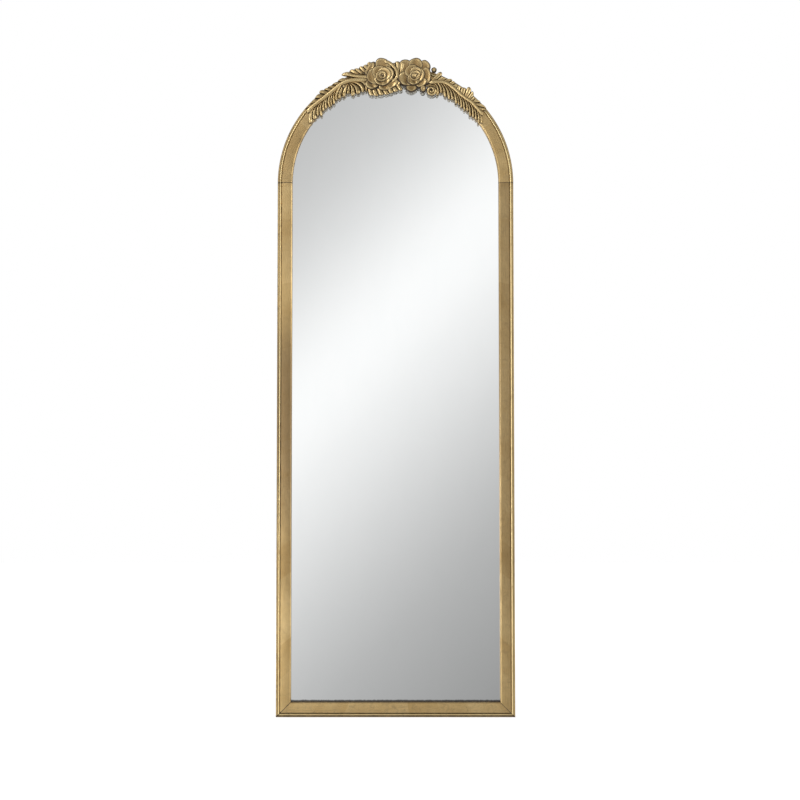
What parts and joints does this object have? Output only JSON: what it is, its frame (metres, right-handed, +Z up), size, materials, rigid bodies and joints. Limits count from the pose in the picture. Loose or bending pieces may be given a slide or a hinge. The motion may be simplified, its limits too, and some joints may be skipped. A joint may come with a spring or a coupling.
{
  "type": "floor mirror",
  "caption": "Full-length arched mirror in a gold-leafed wooden moulding, with a carved crest of roses and acanthus leaves and hanging rings on the back.",
  "frame": {"origin": "middle of the underside of the bottom rail, halfway through the depth of the moulding", "axes": "+Z up along the height of the mirror, +Y out of its back, so the glass and the crest face -Y, and +X to the viewer's right"},
  "size_m": [0.61, 0.0581, 1.6955],
  "materials": {
    "gilded_wood": "antiqued gold leaf over red bole on carved wood",
    "silvered_glass": "polished, silvered on the back",
    "hardboard": "bare hardboard",
    "raw_wood": "bare beech",
    "steel": "zinc plated",
    "rubber": "matt black"
  },
  "bodies": {
    "frame": {"left_stile": "gilded_wood", "right_stile": "gilded_wood", "bottom_rail": "gilded_wood", "left_arch": "gilded_wood", "right_arch": "gilded_wood", "mirror_glass": "silvered_glass", "backing_board": "hardboard", "left_rose": "gilded_wood", "right_rose": "gilded_wood", "left_spray": "gilded_wood", "right_spray": "gilded_wood", "lower_leaf": "gilded_wood", "fan_leaf": "gilded_wood", "left_lower_point": "steel", "left_upper_point": "steel", "left_rail_point": "steel", "left_arch_point": "steel", "right_lower_point": "steel", "right_upper_point": "steel", "right_rail_point": "steel", "right_arch_point": "steel", "left_outer_dowel": "raw_wood", "left_inner_dowel": "raw_wood", "right_outer_dowel": "raw_wood", "right_inner_dowel": "raw_wood", "crown_outer_dowel": "raw_wood", "crown_inner_dowel": "raw_wood", "left_mitre_biscuit": "raw_wood", "right_mitre_biscuit": "raw_wood", "left_corner_brace": "steel", "left_mending_plate": "steel", "right_corner_brace": "steel", "right_mending_plate": "steel", "left_brace_rail_screw_1": "steel", "left_brace_rail_screw_2": "steel", "left_brace_stile_screw_1": "steel", "left_brace_stile_screw_2": "steel", "right_brace_rail_screw_1": "steel", "right_brace_rail_screw_2": "steel", "right_brace_stile_screw_1": "steel", "right_brace_stile_screw_2": "steel", "left_mending_screw_1": "steel", "left_mending_screw_2": "steel", "left_hanger_screw_1": "steel", "left_hanger_screw_2": "steel", "right_mending_screw_1": "steel", "right_mending_screw_2": "steel", "right_hanger_screw_1": "steel", "right_hanger_screw_2": "steel", "left_hanger_strap": "steel", "right_hanger_strap": "steel", "left_lower_bumper": "rubber", "left_upper_bumper": "rubber", "right_lower_bumper": "rubber", "right_upper_bumper": "rubber"},
    "left_ring": {"left_hanger_ring": "steel"},
    "right_ring": {"right_hanger_ring": "steel"}
  },
  "joints": [
    {"name": "left_ring_swing", "type": "hinge", "parent": "frame", "child": "left_ring", "pos_m": [-0.2905, 0.0196, 1.23], "axis": [1, 0, 0], "range_deg": [0, 178]},
    {"name": "right_ring_swing", "type": "hinge", "parent": "frame", "child": "right_ring", "pos_m": [0.2905, 0.0196, 1.23], "axis": [1, 0, 0], "range_deg": [0, 178]}
  ]
}
